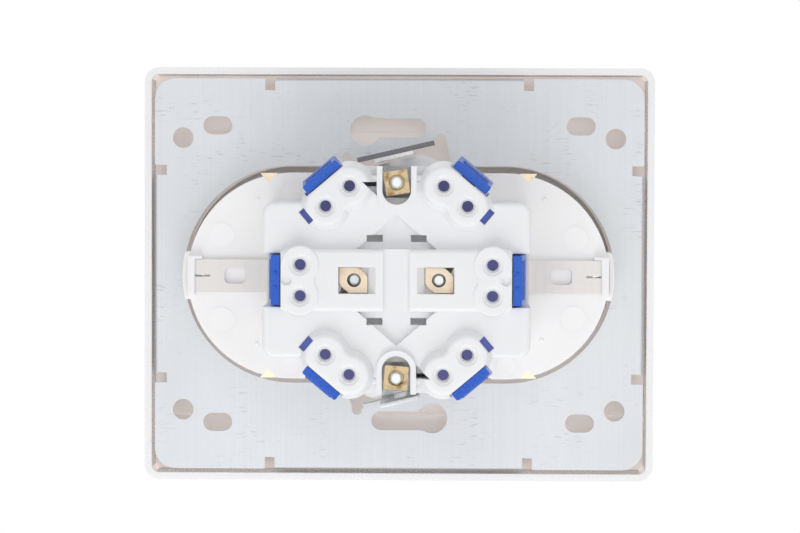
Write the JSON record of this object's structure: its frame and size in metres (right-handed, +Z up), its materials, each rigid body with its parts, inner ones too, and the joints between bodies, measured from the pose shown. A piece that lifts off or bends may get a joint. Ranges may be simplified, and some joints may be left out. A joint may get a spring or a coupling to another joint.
{
  "type": "double wall socket",
  "caption": "Flush-mounted double wall socket with two earthed round wells, a steel mounting plate, spreader claws and push-in terminals with release levers.",
  "frame": {"origin": "centre of the mounting plate, in the wall plane", "axes": "+Y into the wall (rear), -Y out of the front, +Z up, +X to the right seen from the front"},
  "size_m": [0.1042, 0.0414, 0.0844],
  "materials": {
    "frame_plastic": "glossy white moulded plastic",
    "insert_plastic": "satin warm white moulded plastic",
    "housing_plastic": "satin cool white moulded plastic",
    "lever_blue": "blue moulded plastic",
    "zinc_plate": "hot-dip zinc with a fine spangle",
    "strap_metal": "tin-plated matte strip",
    "claw_steel": "zinc-plated pressed steel",
    "screw_steel": "bright zinc",
    "spring_steel": "rolled stainless",
    "brass": "rolled brass",
    "leaf_brass": "pale stamped brass",
    "nut_brass": "darker cut brass"
  },
  "bodies": {
    "socket": {"cover_frame": "frame_plastic", "socket_insert": "insert_plastic", "mounting_plate": "zinc_plate", "rear_housing": "housing_plastic", "live_busbar": "brass", "neutral_busbar": "brass", "earth_strap": "strap_metal", "leaf_nut_left": "leaf_brass", "leaf_nut_right": "leaf_brass", "face_screw_left": "screw_steel", "face_screw_right": "screw_steel", "clamp_spring_earth_left": "spring_steel", "clamp_spring_earth_right": "spring_steel", "clamp_spring_upper_left": "spring_steel", "clamp_spring_upper_right": "spring_steel", "clamp_spring_lower_left": "spring_steel", "clamp_spring_lower_right": "spring_steel", "pin_contact_upper_left": "brass", "pin_contact_upper_right": "brass", "pin_contact_lower_left": "brass", "pin_contact_lower_right": "brass"},
    "lever_earth_left": {"release_lever_earth_left": "lever_blue"},
    "lever_earth_right": {"release_lever_earth_right": "lever_blue"},
    "lever_upper_left": {"release_lever_upper_left": "lever_blue"},
    "lever_upper_right": {"release_lever_upper_right": "lever_blue"},
    "lever_lower_left": {"release_lever_lower_left": "lever_blue"},
    "lever_lower_right": {"release_lever_lower_right": "lever_blue"},
    "screw_top": {"claw_screw_top": "screw_steel"},
    "nut_top": {"claw_nut_top": "nut_brass"},
    "claw_top": {"claw_top": "claw_steel"},
    "screw_bottom": {"claw_screw_bottom": "screw_steel"},
    "nut_bottom": {"claw_nut_bottom": "nut_brass"},
    "claw_bottom": {"claw_bottom": "claw_steel"}
  },
  "joints": [
    {"name": "lever_earth_left_press", "type": "slide", "parent": "socket", "child": "lever_earth_left", "axis": [0, -1, 0], "range_m": [0, 0.0018], "stiffness_N_per_m": 900},
    {"name": "lever_earth_right_press", "type": "slide", "parent": "socket", "child": "lever_earth_right", "axis": [0, -1, 0], "range_m": [0, 0.0018], "stiffness_N_per_m": 900},
    {"name": "lever_upper_left_press", "type": "slide", "parent": "socket", "child": "lever_upper_left", "axis": [0, -1, 0], "range_m": [0, 0.0018], "stiffness_N_per_m": 900},
    {"name": "lever_upper_right_press", "type": "slide", "parent": "socket", "child": "lever_upper_right", "axis": [0, -1, 0], "range_m": [0, 0.0018], "stiffness_N_per_m": 900},
    {"name": "lever_lower_left_press", "type": "slide", "parent": "socket", "child": "lever_lower_left", "axis": [0, -1, 0], "range_m": [0, 0.0018], "stiffness_N_per_m": 900},
    {"name": "lever_lower_right_press", "type": "slide", "parent": "socket", "child": "lever_lower_right", "axis": [0, -1, 0], "range_m": [0, 0.0018], "stiffness_N_per_m": 900},
    {"name": "claw_screw_top_turn", "type": "hinge", "parent": "socket", "child": "screw_top", "pos_m": [0, 0.0065, 0.0191], "axis": [0, 1, 0], "range_deg": [0, 4320]},
    {"name": "claw_nut_top_travel", "type": "slide", "parent": "socket", "child": "nut_top", "axis": [0, -1, 0], "range_m": [0, 0.006]},
    {"name": "claw_top_swing", "type": "hinge", "parent": "socket", "child": "claw_top", "pos_m": [0.00052, 0.0025, 0.02453], "axis": [0.9742, 0, -0.2255], "range_deg": [0, 14]},
    {"name": "claw_screw_bottom_turn", "type": "hinge", "parent": "socket", "child": "screw_bottom", "pos_m": [0, 0.0065, -0.0191], "axis": [0, 1, 0], "range_deg": [0, 4320]},
    {"name": "claw_nut_bottom_travel", "type": "slide", "parent": "socket", "child": "nut_bottom", "axis": [0, -1, 0], "range_m": [0, 0.006]},
    {"name": "claw_bottom_swing", "type": "hinge", "parent": "socket", "child": "claw_bottom", "pos_m": [-0.00052, 0.0025, -0.02453], "axis": [-0.9742, 0, 0.2255], "range_deg": [0, 14]}
  ],
  "couplings": [
    {"joint": "claw_nut_top_travel", "follows": "claw_screw_top_turn", "m_per_rad": 0.000079577},
    {"joint": "claw_top_swing", "follows": "claw_screw_top_turn", "ratio": 0.0032407},
    {"joint": "claw_nut_bottom_travel", "follows": "claw_screw_bottom_turn", "m_per_rad": 0.000079577},
    {"joint": "claw_bottom_swing", "follows": "claw_screw_bottom_turn", "ratio": 0.0032407}
  ]
}
